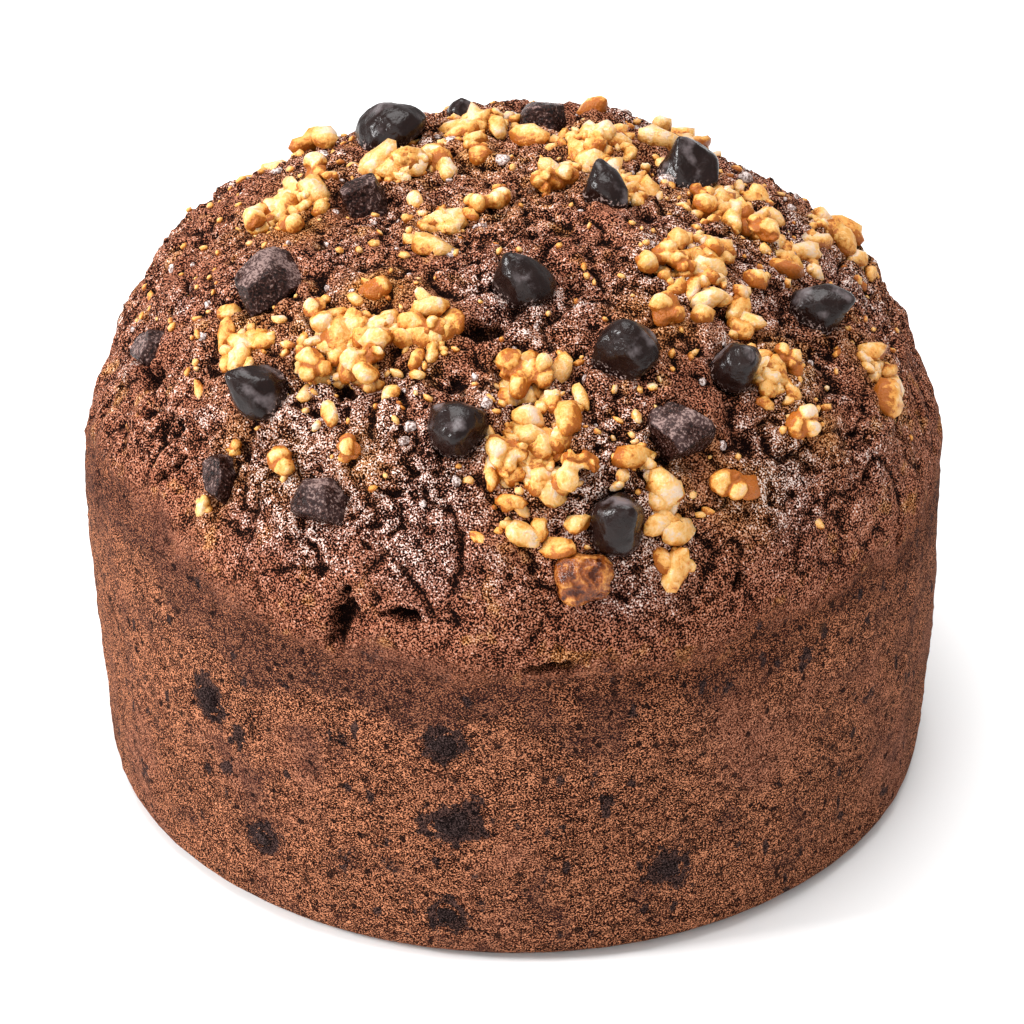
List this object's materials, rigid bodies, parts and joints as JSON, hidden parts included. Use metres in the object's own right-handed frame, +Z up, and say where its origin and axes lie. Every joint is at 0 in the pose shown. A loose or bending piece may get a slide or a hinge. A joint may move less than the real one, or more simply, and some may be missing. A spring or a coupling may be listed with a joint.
{
  "type": "pan de pascua loaf",
  "caption": "Round chocolate Christmas loaf with a domed crust, topped with chocolate chips, chopped chocolate, nuts and candied fruit",
  "frame": {"origin": "on the surface the loaf stands on, under the middle of its bounding box", "axes": "+Z up through the crown of the dome; -Y is the side with the candied fruit at the rim, seen in the picture; +X to that side's right"},
  "size_m": [0.1408, 0.1408, 0.1071],
  "materials": {
    "crumb": "matte, porous cocoa crumb with a darker, wrinkled crust",
    "chocolate": "satin dark chocolate",
    "nut": "toasted chopped nuts, semi-matte",
    "candied_fruit": "glossy, slightly clear candied peel"
  },
  "bodies": {
    "root": {"loaf": "crumb", "chocolate_chip_01": "chocolate", "chocolate_chip_02": "chocolate", "chocolate_chip_03": "chocolate", "chocolate_chip_04": "chocolate", "chocolate_chip_05": "chocolate", "chocolate_chip_06": "chocolate", "chocolate_chip_07": "chocolate", "chocolate_chip_08": "chocolate", "chocolate_chip_09": "chocolate", "chocolate_chip_10": "chocolate", "chocolate_chip_11": "chocolate", "chocolate_chip_12": "chocolate", "chocolate_chip_13": "chocolate", "chocolate_chip_14": "chocolate", "chocolate_chunk_01": "chocolate", "chocolate_chunk_02": "chocolate", "chocolate_chunk_03": "chocolate", "chocolate_chunk_04": "chocolate", "chocolate_chunk_05": "chocolate", "chocolate_chunk_06": "chocolate", "chocolate_chunk_07": "chocolate", "chocolate_chunk_08": "chocolate", "chocolate_chunk_09": "chocolate", "wall_chunk_01": "chocolate", "wall_chunk_02": "chocolate", "wall_chunk_03": "chocolate", "wall_chunk_04": "chocolate", "wall_chunk_05": "chocolate", "wall_chunk_06": "chocolate", "wall_chunk_07": "chocolate", "wall_chunk_08": "chocolate", "wall_chunk_09": "chocolate", "candied_fruit_01": "candied_fruit", "nut_01": "nut", "nut_02": "nut", "nut_03": "nut", "nut_04": "nut", "nut_05": "nut", "nut_06": "nut", "nut_07": "nut", "nut_08": "nut", "nut_09": "nut", "nut_10": "nut", "nut_11": "nut", "nut_12": "nut", "nut_13": "nut", "nut_14": "nut", "nut_15": "nut", "nut_16": "nut", "nut_17": "nut", "nut_18": "nut", "nut_19": "nut", "nut_20": "nut", "nut_21": "nut", "nut_22": "nut", "nut_23": "nut", "nut_24": "nut", "nut_25": "nut", "nut_26": "nut"}
  },
  "joints": []
}
